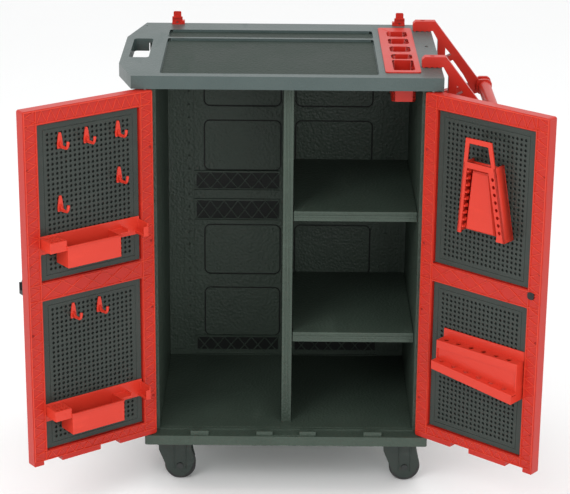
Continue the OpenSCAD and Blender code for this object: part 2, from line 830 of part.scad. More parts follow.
// turning latch on the outer face of the right door, drawn with its arm upright
module turn_latch() {
  o = -door_t;
  u = door_w - 24;
  color(black)
    as_right() {
      translate([-half_w + u, door_in + 4, latch_z])
        rotate([90, 0, 0]) cylinder(r = 4, h = door_t + 8, $fn = 48);
      translate([-half_w + u, door_in + o - 0.4, latch_z])
        rotate([90, 0, 0]) cylinder(r = 11, h = 1.8, $fn = 48);
      dplate([u - 6, u + 6], [o - 8, o - 3.2], [latch_z - 10, latch_z + 44], 5);
      dplate([u - 2.5, u + 2.5], [o - 16, o - 7], [latch_z - 18, latch_z + 18], 2);
      dplate([u - 2.5, u + 2.5], [o - 4, o - 2], [latch_z - 10, latch_z + 10], 2);
      dplate([u - 8, u + 8], [0.4, 3.4], [latch_z - 8, latch_z + 8], 6);
    }
}

// ---------- casters ----------
module caster_plates() {
  color(steel)
    for (x = [-caster_x, caster_x], y = caster_y)
      difference() {
        translate([0, 0, plate_z])
          linear_extrude(3) rrect(x - 36, y - 32, x + 36, y + 32, 5);
        translate([x, y, plate_z - 1]) cylinder(r = 5, h = 6, $fn = 32);
        for (a = [-1, 1], b = [-1, 1])
          translate([x + 26 * a, y + 22 * b, plate_z - 1]) cylinder(r = 2.4, h = 6, $fn = 24);
      }
}

module caster_plate_screws() {
  color(steel)
    for (x = [-caster_x, caster_x], y = caster_y, a = [-1, 1], b = [-1, 1]) {
      translate([x + 26 * a, y + 22 * b, plate_z]) cylinder(r = 2, h = 17, $fn = 24);
      translate([x + 26 * a, y + 22 * b, plate_z - 1.2]) cylinder(r = 3.8, h = 1.2, $fn = 24);
    }
}

module kingpins() {
  color(steel)
    for (x = [-caster_x, caster_x], y = caster_y) {
      translate([x, y, plate_z - 18]) cylinder(r = 5, h = 24, $fn = 48);
      translate([x, y, plate_z - 20]) cylinder(r = 8, h = 4, $fn = 48);
      translate([x, y, plate_z + 3]) cylinder(r = 8, h = 3, $fn = 48);
    }
}

// hooded fork, side view relative to the swivel axis
module fork_side() {
  difference() {
    union() {
      translate([trail, wheel_r]) circle(r = wheel_r - 9, $fn = 96);
      polygon([[-33, plate_z - 4], [-33, plate_z - 18], [trail - 27, 22], [trail + 24, 22],
        [trail + wheel_r - 2, wheel_r + 12], [trail + 26, plate_z - 14], [trail + 26, plate_z - 4]]);
    }
    translate([trail, wheel_r]) circle(r = axle_r, $fn = 48);
  }
}

module fork(x, y) {
  gap = wheel_w / 2 + 1.5;
  color(grey)
    difference() {
      union() {
        for (s = [-1, 1])
          translate([x, y + s * (gap + 1.75) + 1.75, 0])
            rotate([90, 0, 0]) linear_extrude(3.5) fork_side();
        box([x - 33, y - gap - 3, plate_z - 8], [x + trail + 26, y + gap + 3, plate_z - 4]);
        box([x - 33, y - gap - 3, plate_z - 18], [x - 30, y + gap + 3, plate_z - 4]);
        translate([x, y, plate_z - 15]) cylinder(r = 10, h = 14.6, $fn = 48);
        for (s = [-1, 1], d = [-13, 13])
          box([x + trail + d - 1.2, y + s * (gap + 4.2) - 1.2, wheel_r - 8],
              [x + trail + d + 1.2, y + s * (gap + 4.2) + 1.2, plate_z - 4]);
      }
      translate([x, y, plate_z - 30]) cylinder(r = 5 + fit, h = 40, $fn = 48);
      translate([x, y, plate_z - 40]) cylinder(r = 9, h = 24.6, $fn = 48);
    }
}

module wheel(x, y) {
  w = wheel_w / 2;
  r = wheel_r;
  color(black)
    translate([x + trail, y, r])
      rotate([90, 0, 0])
        rotate_extrude($fn = 96)
          polygon([[axle_r + fit, -w - 1], [11, -w - 1], [12, -w + 2], [r - 9, -w + 2], [r - 7, -w],
            [r - 3, -w], [r, -w + 4], [r, w - 4], [r - 3, w], [r - 7, w],
            [r - 9, w - 2], [12, w - 2], [11, w + 1], [axle_r + fit, w + 1]]);
}

module axle(x, y) {
  l = wheel_w / 2 + 5;
  color(steel) {
    bar_y(x + trail, wheel_r, axle_r, y - l, y + l);
    for (s = [-1, 1])
      bar_y(x + trail, wheel_r, 7, y + s * (l + 1.5) - 1.5, y + s * (l + 1.5) + 1.5);
  }
}

module fork_front_left() {
  fork(-caster_x, caster_y[0]);
}

module fork_front_right() {
  fork(caster_x, caster_y[0]);
}

module fork_rear_left() {
  fork(-caster_x, caster_y[1]);
}

module fork_rear_right() {
  fork(caster_x, caster_y[1]);
}

module wheel_front_left() {
  wheel(-caster_x, caster_y[0]);
}

module wheel_front_right() {
  wheel(caster_x, caster_y[0]);
}

module wheel_rear_left() {
  wheel(-caster_x, caster_y[1]);
}

module wheel_rear_right() {
  wheel(caster_x, caster_y[1]);
}

module axle_front_left() {
  axle(-caster_x, caster_y[0]);
}

module axle_front_right() {
  axle(caster_x, caster_y[0]);
}

module axle_rear_left() {
  axle(-caster_x, caster_y[1]);
}

module axle_rear_right() {
  axle(caster_x, caster_y[1]);
}

// ---------- assembly ----------
placed() base_platform();
placed() side_panel_left();
placed() side_panel_right();
placed() back_panel();
placed() divider_panel();
placed() upper_shelf();
placed() lower_shelf();
placed() shelf_pegs();
placed() worktop();
placed() parts_organizer();
placed() handle_bracket_front();
placed() handle_bracket_rear();
placed() handle_grip();
placed() handle_screws();
placed() rear_clip_left();
placed() rear_clip_right();
placed() caster_plates();
placed() caster_plate_screws();
placed() kingpins();
placed() hinge_pins();
placed() body_screws();
placed() left_door_frame();
placed() left_upper_pegboard();
placed() left_lower_pegboard();
placed() left_door_hooks();
placed() left_upper_tray();
placed() left_lower_tray();
placed() left_door_keeper();
placed() left_door_screws();
placed() right_door_frame();
placed() right_upper_pegboard();
placed() right_lower_pegboard();
placed() wrench_rack();
placed() driver_rack();
placed() right_door_screws();
placed() turn_latch();
placed() fork_front_left();
placed() fork_front_right();
placed() fork_rear_left();
placed() fork_rear_right();
placed() axle_front_left();
placed() axle_front_right();
placed() axle_rear_left();
placed() axle_rear_right();
placed() wheel_front_left();
placed() wheel_front_right();
placed() wheel_rear_left();
placed() wheel_rear_right();
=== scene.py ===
import json
import math

import bmesh
import bpy
from mathutils import Matrix, Vector

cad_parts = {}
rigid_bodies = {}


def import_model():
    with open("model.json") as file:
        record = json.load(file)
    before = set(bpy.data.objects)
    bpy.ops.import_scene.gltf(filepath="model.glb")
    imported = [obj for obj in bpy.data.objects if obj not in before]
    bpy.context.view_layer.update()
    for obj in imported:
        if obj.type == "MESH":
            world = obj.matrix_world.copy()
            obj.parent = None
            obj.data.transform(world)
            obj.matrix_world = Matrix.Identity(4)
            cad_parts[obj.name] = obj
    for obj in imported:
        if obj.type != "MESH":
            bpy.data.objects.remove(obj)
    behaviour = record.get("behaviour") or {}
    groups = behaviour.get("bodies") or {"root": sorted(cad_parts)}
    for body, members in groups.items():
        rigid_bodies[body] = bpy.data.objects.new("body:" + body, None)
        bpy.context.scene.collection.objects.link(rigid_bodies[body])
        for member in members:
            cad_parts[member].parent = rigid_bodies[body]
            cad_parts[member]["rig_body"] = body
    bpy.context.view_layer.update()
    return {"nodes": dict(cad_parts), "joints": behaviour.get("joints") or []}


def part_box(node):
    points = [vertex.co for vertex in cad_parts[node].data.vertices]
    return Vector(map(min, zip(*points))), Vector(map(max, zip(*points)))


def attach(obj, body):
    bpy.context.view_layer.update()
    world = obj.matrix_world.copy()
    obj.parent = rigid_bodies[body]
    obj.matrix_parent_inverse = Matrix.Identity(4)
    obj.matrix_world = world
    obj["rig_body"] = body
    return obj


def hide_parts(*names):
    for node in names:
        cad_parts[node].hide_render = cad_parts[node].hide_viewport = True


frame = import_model()

# ---------- camera ----------
# A long lens about four metres in front of the cart and a metre above its
# worktop, tilted slightly so that level lines fall to the right.
base_low, base_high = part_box("base_platform")
opening = Vector(((base_low.x + base_high.x) / 2, base_low.y + 0.022, 0))
eye = opening + Vector((-0.0102, -4.133, 2.0223))
heading, dip, tilt = math.radians(0.06), math.radians(19.28), math.radians(0.51)
sensor, focal = 36, 127.5221
sight = Vector((math.sin(heading) * math.cos(dip), math.cos(heading) * math.cos(dip), -math.sin(dip)))
level = Vector((math.cos(heading), -math.sin(heading), 0))
rise = level.cross(sight)
side = level * math.cos(tilt) + rise * math.sin(tilt)
head = side.cross(sight)
camera_data = bpy.data.cameras.new("camera")
camera_data.sensor_width = sensor
camera_data.lens = focal
camera = bpy.data.objects.new("camera", camera_data)
camera.matrix_world = Matrix.Translation(eye) @ Matrix((side, head, -sight)).transposed().to_4x4()
bpy.context.scene.collection.objects.link(camera)
bpy.context.scene.camera = camera

# ---------- studio ----------
# A white floor in an even pale surround, one broad lamp over the left shoulder,
# a fill lamp that reaches into the cabinet, and one lamp overhead.
bpy.context.scene.view_settings.view_transform = "Standard"
surround = bpy.data.worlds.new("surround")
surround.use_nodes = True
surround.node_tree.nodes["Background"].inputs["Color"].default_value = (1, 1, 1, 1)
surround.node_tree.nodes["Background"].inputs["Strength"].default_value = 0.95
bpy.context.scene.world = surround
for lamp_name, place, aim, size, watts in (
    ("key_lamp", (-1.9, -3.0, 3.1), (0, 0, 0.5), 1.6, 52),
    ("fill_lamp", (1.3, -3.6, 1.6), (0, 0.2, 0.5), 1.6, 24),
    ("top_lamp", (0.3, 0.2, 3.2), (0, 0.1, 0.9), 1.6, 20),
):
    lamp_data = bpy.data.lights.new(lamp_name, "AREA")
    lamp_data.size, lamp_data.energy = size, watts
    lamp = bpy.data.objects.new(lamp_name, lamp_data)
    lamp.location = opening + Vector(place)
    lamp.rotation_euler = (Vector(aim) - Vector(place)).to_track_quat("-Z", "Y").to_euler()
    bpy.context.scene.collection.objects.link(lamp)


class Value:
    """A shader value that adds, subtracts and scales as a number does."""

    def __init__(self, finish, socket):
        self.finish, self.socket = finish, socket

    def maths(self, operation, first, second):
        return self.finish.node("ShaderNodeMath", {"operation": operation}, {0: first, 1: second})

    def __add__(self, other):
        return self.maths("ADD", self, other)

    def __rsub__(self, other):
        return self.maths("SUBTRACT", other, self)

    def __mul__(self, other):
        return self.maths("MULTIPLY", self, other)

    __radd__, __rmul__ = __add__, __mul__


class Finish:
    """A material under construction; node() adds any shader node and hands back its output."""

    def __init__(self, name):
        self.material = bpy.data.materials.new(name)
        self.material.use_nodes = True
        self.tree = self.material.node_tree
        self.surface = self.tree.nodes["Principled BSDF"]

    def node(self, kind, settings, sockets, out=0):
        made = self.tree.nodes.new(kind)
        for name, setting in settings.items():
            setattr(made, name, setting)
        for name, value in sockets.items():
            self.join(value, made.inputs[name])
        return Value(self, made.outputs[out])

    def join(self, value, socket):
        if isinstance(value, Value):
            self.tree.links.new(value.socket, socket)
        else:
            socket.default_value = value

    def spread(self, value, low, high, start=0.0, end=1.0):
        return self.node("ShaderNodeMapRange", {},
                         {"Value": value, "From Min": low, "From Max": high, "To Min": start, "To Max": end})

    def tint(self, amount, plain, other):
        return self.node("ShaderNodeMix", {"data_type": "RGBA"}, {0: amount, 6: plain, 7: other}, out=2)

    def clouds(self, place, size, detail=3.0, stretch=None):
        if stretch:
            place = self.node("ShaderNodeMapping", {}, {"Vector": place, "Scale": stretch})
        return self.node("ShaderNodeTexNoise", {}, {"Vector": place, "Scale": 1 / size, "Detail": detail})

    def relief(self, height, depth, under=None):
        sockets = {"Strength": 1.0, "Distance": depth, "Height": height}
        if under:
            sockets["Normal"] = under
        return self.node("ShaderNodeBump", {}, sockets)

    def wear(self, **named):
        for name, value in named.items():
            self.join(value, self.surface.inputs[name.replace("_", " ")])
        return self.material


# the floor: matt white paper with the faintest unevenness
paper = Finish("studio_paper")
paper_place = paper.node("ShaderNodeTexCoord", {}, {}, "Object")
paper_cloud = paper.clouds(paper_place, 0.9)
paper.wear(Base_Color=paper.tint(paper_cloud, (0.955, 0.96, 0.96, 1), (0.98, 0.985, 0.985, 1)),
           Roughness=0.9 - paper_cloud * 0.1)
floor_mesh = bpy.data.meshes.new("floor")
floor_shape = bmesh.new()
bmesh.ops.create_grid(floor_shape, x_segments=4, y_segments=4, size=14)
floor_shape.to_mesh(floor_mesh)
floor_shape.free()
floor_mesh.materials.append(paper.material)
floor = bpy.data.objects.new("floor", floor_mesh)
bpy.context.scene.collection.objects.link(floor)


# ---------- base platform ----------
# The lowest shell of the cart, moulded in grey-green plastic with a pebbled
# skin: rim, loading floors and the bosses that the casters screw to.
def moulded(name, colour, faded, gloss, grain, depth):
    """Moulded plastic: pebbled skin, cloudy colour and faint rubbed streaks."""
    skin = Finish(name)
    place = skin.node("ShaderNodeTexCoord", {}, {}, "Object")
    cloud = skin.clouds(place, 0.16, 4)
    pebble = skin.node("ShaderNodeTexVoronoi", {"feature": "SMOOTH_F1"},
                       {"Vector": place, "Scale": 1 / grain, "Smoothness": 0.6})
    flow = skin.clouds(place, 0.012, 3, (1, 1, 0.14))
    rub = skin.spread(skin.clouds(place, 0.05, 8, (1, 0.25, 2.6)), 0.6, 0.72)
    height = skin.spread(pebble, 0.1, 0.75) * 0.7 + flow * 0.6
    skin.wear(Base_Color=skin.tint(skin.spread(cloud, 0.3, 0.7) * 0.55 + rub * 0.45, colour, faded),
              Roughness=skin.spread(cloud, 0.25, 0.75, gloss - 0.07, gloss + 0.07) + rub * 0.1,
              Normal=skin.relief(height, depth))
    skin.surface.inputs["Specular IOR Level"].default_value = 0.32
    return skin.material


grey = moulded("grey_plastic", (0.041, 0.060, 0.046, 1), (0.062, 0.087, 0.068, 1), 0.45, 0.0060, 0.0010)


weld, flat_angle, edge_angle, sharp_angle = 3e-6, math.radians(0.8), math.radians(38), math.radians(55)


def eased(node, edge, finish, slot, steps=2):
    """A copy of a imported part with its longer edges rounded, standing for that part."""
    mesh = frame["nodes"][node].data.copy()
    shape = bmesh.new()
    shape.from_mesh(mesh)
    bmesh.ops.remove_doubles(shape, verts=shape.verts, dist=weld)
    bmesh.ops.dissolve_limit(shape, angle_limit=flat_angle, verts=shape.verts, edges=shape.edges)
    weight = shape.edges.layers.float.new("bevel_weight_edge")
    for line in shape.edges:
        if line.is_manifold and line.calc_face_angle(0) > edge_angle:
            line[weight] = float(line.calc_length() > 2 * edge)
            line.smooth = line[weight] > 0
    shape.to_mesh(mesh)
    shape.free()
    mesh.materials.clear()
    mesh.materials.append(finish)
    piece = bpy.data.objects.new(node + "_moulding", mesh)
    bpy.context.scene.collection.objects.link(piece)
    rounding = piece.modifiers.new("rounded_edges", "BEVEL")
    rounding.width, rounding.segments = edge, steps
    rounding.limit_method = "WEIGHT"
    rounding.use_clamp_overlap = True
    for face in mesh.polygons:
        face.use_smooth = True
    set_plain(piece)
    piece.data.set_sharp_from_angle(angle=sharp_angle)
    level = piece.modifiers.new("level_faces", "WEIGHTED_NORMAL")
    level.weight, level.keep_sharp = 90, True
    set_plain(piece)
    return settle(piece, frame["nodes"][node]["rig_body"], slot, node)


def finished_mesh(thing):
    """The mesh of an object as its modifiers or its curve make it."""
    bpy.context.view_layer.update()
    return bpy.data.meshes.new_from_object(thing.evaluated_get(bpy.context.evaluated_depsgraph_get()))


def set_plain(piece):
    """Turns a piece and its modifiers into one plain mesh."""
    done = finished_mesh(piece)
    piece.modifiers.clear()
    piece.data = done


def settle(piece, body, slot, *nodes):
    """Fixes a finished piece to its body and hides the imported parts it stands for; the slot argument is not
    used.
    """
    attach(piece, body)
    if nodes:
        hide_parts(*nodes)
    return piece


eased("base_platform", 0.0004, grey, "grey_body")

# ---------- side panels, divider and shelves ----------
# Ribbed panels and hollow shelves of the same plastic, slotted between base and
# worktop; the shelves rest on small black pegs.
for panel in ("side_panel_left", "side_panel_right", "divider_panel", "upper_shelf", "lower_shelf"):
    eased(panel, 0.0009, grey, "grey_body")
black = moulded("black_plastic", (0.014, 0.014, 0.015, 1), (0.03, 0.03, 0.031, 1), 0.42, 0.0016, 0.00008)
eased("shelf_pegs", 0.0004, black, "black_plastic")


# ---------- back panel ----------
# One moulded wall: raised pads with a sunk outline, and bands of crossed ribs
# that stiffen it, in both bays. A near-black sheet behind the liner is painted shade,
# seen in the sunk outlines and between the ribs. Points closer than touch are one point.
touch = 1e-6


def rounded(x0, y0, x1, y1, radius, steps=6):
    """The outline of a rectangle with round corners."""
    points = []
    for cx, cy, start in ((x1 - radius, y0 + radius, -90), (x1 - radius, y1 - radius, 0),
                          (x0 + radius, y1 - radius, 90), (x0 + radius, y0 + radius, 180)):
        for step in range(steps + 1):
            angle = math.radians(start + 90 * step / steps)
            points.append((cx + radius * math.cos(angle), cy + radius * math.sin(angle)))
    return points


def bar(shape, start, end, wide, high):
    """A straight raised rib with sloping flanks, drawn flat and standing up in Z."""
    run = Vector((end[0] - start[0], end[1] - start[1], 0)).normalized()
    across = Vector((-run.y, run.x, 0))
    feet = []
    for point in (start, end):
        for offset, lift in ((-wide, 0), (wide, 0), (wide * 0.45, high), (-wide * 0.45, high)):
            feet.append(shape.verts.new(Vector((point[0], point[1], lift)) + across * offset / 2))
    for corners in ((0, 1, 2, 3), (7, 6, 5, 4), (0, 4, 5, 1), (1, 5, 6, 2), (2, 6, 7, 3), (3, 7, 4, 0)):
        shape.faces.new([feet[i] for i in corners])


def drawn_mesh(drawing, lines, closed, place):
    """The mesh that a curve makes of some lines of points, moved into place."""
    for points in lines:
        line = drawing.splines.new("POLY")
        line.points.add(len(points) - 1)
        for point, spot in zip(line.points, points):
            point.co = (*spot, 1)
        line.use_cyclic_u = closed
    holder = bpy.data.objects.new("drawing", drawing)
    bpy.context.scene.collection.objects.link(holder)
    made = finished_mesh(holder)
    made.transform(place)
    bpy.data.objects.remove(holder)
    return made


def plate(shape, outline, holes, thick):
    """Adds a flat plate with openings, from Z = 0 up to its thickness."""
    drawing = bpy.data.curves.new("outline", "CURVE")
    drawing.dimensions, drawing.fill_mode = "2D", "BOTH"
    drawing.extrude = thick / 2
    lines = [[(x, y, 0) for x, y in points] for points in [outline] + holes]
    shape.from_mesh(drawn_mesh(drawing, lines, True, Matrix.Translation((0, 0, thick / 2))))
    bmesh.ops.remove_doubles(shape, verts=shape.verts, dist=touch)


def seat(origin, along, across, out):
    """The matrix that stands a flat drawing in its place."""
    turned = Matrix((Vector(along), Vector(across), Vector(out))).transposed().to_4x4()
    return Matrix.Translation(Vector(origin)) @ turned


def piece_from(shape, name, finish, place):
    """Makes a named piece of a finished drawing, standing in its place with faces outward."""
    shape.transform(place)
    bmesh.ops.remove_doubles(shape, verts=shape.verts, dist=touch)
    bmesh.ops.recalc_face_normals(shape, faces=shape.faces)
    mesh = bpy.data.meshes.new(name)
    shape.to_mesh(mesh)
    shape.free()
    mesh.materials.append(finish)
    made = bpy.data.objects.new(name, mesh)
    bpy.context.scene.collection.objects.link(made)
    return made


def fed(tree, kind, **sockets):
    """Adds a geometry node; a socket takes a value or another node's first output."""
    made = tree.nodes.new(kind)
    for name, value in sockets.items():
        socket = made.inputs[name.replace("_", " ")]
        if isinstance(value, bpy.types.Node):
            tree.links.new(value.outputs[0], socket)
        elif isinstance(value, bpy.types.NodeSocket):
            tree.links.new(value, socket)
        else:
            socket.default_value = value
    return made


def repeater(name, layout):
    """A node tree that sets one shape on many points: a row, a grid or given points."""
    tree = bpy.data.node_groups.new(name, "GeometryNodeTree")
    face = tree.interface
    face.new_socket("Points", in_out="INPUT", socket_type="NodeSocketGeometry")
    for label, kind in (("Shape", "Object"), ("Finish", "Material"), ("Pitch", "Float"), ("Rise", "Float"),
                        ("Count", "Int"), ("Rows", "Int"), ("Turn", "Rotation")):
        face.new_socket(label, in_out="INPUT", socket_type="NodeSocket" + kind)
    face.new_socket("Result", in_out="OUTPUT", socket_type="NodeSocketGeometry")
    given = tree.nodes.new("NodeGroupInput").outputs
    shape = fed(tree, "GeometryNodeObjectInfo", Object=given["Shape"])
    if layout == "row":
        step = fed(tree, "ShaderNodeCombineXYZ", X=given["Pitch"])
        points = fed(tree, "GeometryNodeMeshLine", Count=given["Count"], Offset=step)
    elif layout == "grid":
        sides = []
        for number, pitch in (("Count", "Pitch"), ("Rows", "Rise")):
            gaps = fed(tree, "ShaderNodeMath")
            gaps.operation = "SUBTRACT"
            tree.links.new(given[number], gaps.inputs[0])
            gaps.inputs[1].default_value = 1
            whole = fed(tree, "ShaderNodeMath")
            whole.operation = "MULTIPLY"
            tree.links.new(gaps.outputs[0], whole.inputs[0])
            tree.links.new(given[pitch], whole.inputs[1])
            sides.append(whole)
        points = fed(tree, "GeometryNodeMeshGrid", Size_X=sides[0], Size_Y=sides[1],
                     Vertices_X=given["Count"], Vertices_Y=given["Rows"])
    points_out = given["Points"] if layout == "points" else points.outputs[0]
    copies = fed(tree, "GeometryNodeInstanceOnPoints", Points=points_out, Rotation=given["Turn"])
    tree.links.new(shape.outputs["Geometry"], copies.inputs["Instance"])
    real = fed(tree, "GeometryNodeRealizeInstances", Geometry=copies)
    whole_mesh = fed(tree, "GeometryNodeMergeByDistance", Geometry=real, Distance=0.000005)
    finished = fed(tree, "GeometryNodeSetMaterial", Geometry=whole_mesh, Material=given["Finish"])
    tree.links.new(finished.outputs[0], tree.nodes.new("NodeGroupOutput").inputs["Result"])
    return tree


trees = {layout: repeater("repeat_in_" + layout, layout) for layout in ("row", "grid", "points")}


def repeated(layout, shape, finish, points=(), **sizes):
    """The mesh of a shape set in a row, a grid or on points, as a drawing to go on with."""
    if layout != "grid":
        bmesh.ops.recalc_face_normals(shape, faces=shape.faces)
    unit_mesh = bpy.data.meshes.new("unit")
    shape.to_mesh(unit_mesh)
    shape.free()
    unit = bpy.data.objects.new("unit", unit_mesh)
    host_mesh = bpy.data.meshes.new("host")
    host_mesh.from_pydata([tuple(p) for p in points], [], [])
    host = bpy.data.objects.new("host", host_mesh)
    for thing in (unit, host):
        bpy.context.scene.collection.objects.link(thing)
    tree = trees[layout]
    modifier = host.modifiers.new("repeat", "NODES")
    modifier.node_group = tree
    values = {"Shape": unit, "Finish": finish, **sizes}
    for item in tree.interface.items_tree:
        if item.in_out == "INPUT" and item.name in values:
            modifier[item.identifier] = values[item.name]
    drawing = bmesh.new()
    drawing.from_mesh(finished_mesh(host))
    for thing in (unit, host):
        bpy.data.objects.remove(thing)
    return drawing


def crossed_unit(pitch, width, wide, high, crossed):
    """One bay of bracing: a pair of sloping ribs, or a full cross, the second rib a little lower."""
    shape = bmesh.new()
    turn_at = pitch if crossed else pitch / 2
    back_from = 0 if crossed else pitch / 2
    bar(shape, (0, 0), (turn_at, width), wide, high)
    bar(shape, (back_from, width), (pitch, 0), wide, high * 0.96)
    return shape


def joined(shape, more, place=None):
    """Adds one drawing to another, moved into place."""
    if place is not None:
        more.transform(place)
    bits = bpy.data.meshes.new("bits")
    more.to_mesh(bits)
    more.free()
    shape.from_mesh(bits)
    bpy.data.meshes.remove(bits)


wall_low, wall_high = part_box("back_panel")
wall_tall = wall_high.z - wall_low.z
eased("back_panel", 0.0008, grey, "grey_body")
# Near-black painted shade, on thin sheets behind the back wall's liner and behind the pegboards, seen through
# their grooves, windows and holes.
painted_shade = moulded("painted_shade_plastic", (0.006, 0.008, 0.007, 1), (0.010, 0.012, 0.011, 1), 0.6, 0.0055, 0.0003)
skin_back, liner_thick, groove, recess_thick = 0.0020, 0.0030, 0.0036, 0.0003
pads = ((0.053, 0.174), (0.213, 0.334), (0.474, 0.593), (0.632, wall_tall - 0.040))
bands = ((0.006, 0.046), (0.352, 0.396), (0.427, 0.466))
pad_near, pad_far, pad_corner = 0.019, 0.196, 0.012
band_near, band_far, band_corner, ridge_gap = 0.020, 0.217, 0.002, 0.004
cross_wide, ridge_wide, ridge_high = 0.0034, 0.0042, liner_thick + 0.0030
liner_near, liner_far, liner_gap = 0.0135, 0.222, 0.001
bay, bays = 0.0328, 6
for hand, sign in (("left", -1), ("right", 1)):
    outline = rounded(liner_near, liner_gap, liner_far, wall_tall - liner_gap, liner_gap, 1)
    pad_lines = [rounded(pad_near, low, pad_far, high, pad_corner) for low, high in pads]
    grooves = [rounded(pad_near - groove, low - groove, pad_far + groove, high + groove, pad_corner + groove)
               for low, high in pads]
    windows = [rounded(band_near, low, band_far, high, band_corner, 1) for low, high in bands]
    liner = bmesh.new()
    plate(liner, outline, grooves + windows, liner_thick)
    for low, high in bands:
        unit = crossed_unit(bay, high - low, cross_wide, liner_thick - 0.0002, True)
        ribs = repeated("row", unit, grey, Pitch=bay, Count=bays)
        joined(liner, ribs, Matrix.Translation((band_near + 0.0001, low, 0)))
        for edge in (low - ridge_gap, high + ridge_gap):
            bar(liner, (band_near - 0.002, edge), (band_far + ridge_gap, edge), ridge_wide, ridge_high)
    # A thin near-black sheet behind the liner: painted shade in the grooves and in the band windows.
    shadow = bmesh.new()
    plate(shadow, outline, pad_lines, recess_thick)
    for drawing, label, depth, finish in ((liner, "liner", skin_back, grey),
                                          (shadow, "recess", skin_back - recess_thick, painted_shade)):
        place = seat((opening.x, wall_low.y + depth, wall_low.z), (sign, 0, 0), (0, 0, 1), (0, -1, 0))
        settle(piece_from(drawing, f"back_{label}_{hand}", finish, place), "cabinet", "grey_body")

# ---------- worktop ----------
# A single moulded top, a shade lighter than the body, with a sunk tray, a rear
# channel and a carrying hole cut through its left end.
top_grey = moulded("worktop_plastic", (0.054, 0.077, 0.074, 1), (0.078, 0.106, 0.102, 1),
                   0.36, 0.0045, 0.00045)
eased("worktop", 0.0022, top_grey, "grey_top", 3)
leather = moulded("grained_plastic", (0.010, 0.021, 0.015, 1), (0.022, 0.038, 0.029, 1),
                  0.60, 0.0055, 0.0013)
top_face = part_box("worktop")[1].z
tray_left, tray_right, tray_corner = -0.2725, 0.1885, 0.007
sunk, lining_gap, lining_thick = 0.006, 0.0015, 0.0004
for label, near, far in (("tray", 0.008, 0.327), ("channel", 0.338, 0.411)):
    lining = bmesh.new()
    outline = rounded(tray_left, near + lining_gap, tray_right, far - lining_gap, tray_corner)
    plate(lining, outline, [], lining_thick)
    place = Matrix.Translation((opening.x, opening.y, top_face - sunk))
    settle(piece_from(lining, f"worktop_{label}_grain", leather, place), "cabinet", "grey_top")

# ---------- red fittings on the top ----------
# Organizer tray, push handle and rear clips in smooth red plastic, dropped into
# or screwed onto the worktop.
red = moulded("red_plastic", (0.45, 0.0170, 0.0090, 1), (0.53, 0.026, 0.0135, 1), 0.34, 0.0030, 0.00012)
eased("parts_organizer", 0.0016, red, "red_plastic", 3)
for node, edge in (("handle_bracket_front", 0.0018), ("handle_bracket_rear", 0.0018), ("handle_grip", 0.0015),
                   ("rear_clip_left", 0.0008), ("rear_clip_right", 0.0008)):
    eased(node, edge, red, "red_plastic", 3)


# ---------- doors ----------
# Each door is a deep red frame with two windows. Sloping ribs stiffen its rails
# and posts, and raised lines run along each window and along the edge. Ribs and lines
# are a lighter red than the frame: a painted highlight on their ridges.
hinges = {j["child"]: j for j in frame["joints"] if j["name"].endswith("door_hinge")}
knuckle = 0.011


def hung(body):
    """From a closed door's own measures (out from the hinge, inwards, up) to its place at rest."""
    hinge = hinges[body]
    low, high = hinge["range_deg"]
    sign = -1 if body == "left_door" else 1
    shut = high if sign < 0 else low
    flat = Matrix(((-sign, 0, 0, sign * knuckle), (0, 1, 0, knuckle), (0, 0, 1, 0), (0, 0, 0, 1)))
    x, y, _ = hinge["pos_m"]
    return Matrix.Translation((x, y, 0)) @ Matrix.Rotation(-math.radians(shut), 4, "Z") @ flat


def box_of(points):
    """The lowest and highest corners of the box round some points."""
    return (Vector([min(p[i] for p in points) for i in range(3)]),
            Vector([max(p[i] for p in points) for i in range(3)]))


def own_box(node):
    """A door part's lowest and highest corners in the door's own measures."""
    back = hung(frame["nodes"][node]["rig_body"]).inverted()
    return box_of([back @ v.co for v in frame["nodes"][node].data.vertices])


# The same red plastic as the frame, made lighter as a painted highlight where light catches the ridges.
rib_red_painted_highlight = moulded("rib_plastic_painted_highlight", (0.56, 0.038, 0.019, 1), (0.66, 0.058, 0.029, 1), 0.30, 0.0030, 0.00008)
rib_wide, rib_high, line_wide, line_high = 0.0022, 0.0018, 0.0024, 0.0024
post, line_in, notch, end_gap, window_gap = 0.033, 0.0028, 0.0125, 0.0015, 0.0032
crown_gap, rail_gap, foot_less = 0.002, 0.0045, 0.0085
inner = post - 0.0030
rib_band = inner - line_in - line_wide
upright = seat((0, 0, 0), (1, 0, 0), (0, 0, 1), (0, 1, 0))


def braced(ribs, start, along, length, band, bays, crossed=False):
    """Adds a run of bracing from start to a drawing of a door's ribs."""
    unit = crossed_unit(length / bays, band, rib_wide, rib_high, crossed)
    drawn = repeated("row", unit, rib_red_painted_highlight, Pitch=length / bays, Count=bays)
    across = (1 - along[0], 1 - along[1], 0)
    joined(ribs, drawn, seat((*start, 0), along, across, (0, 0, 1)))


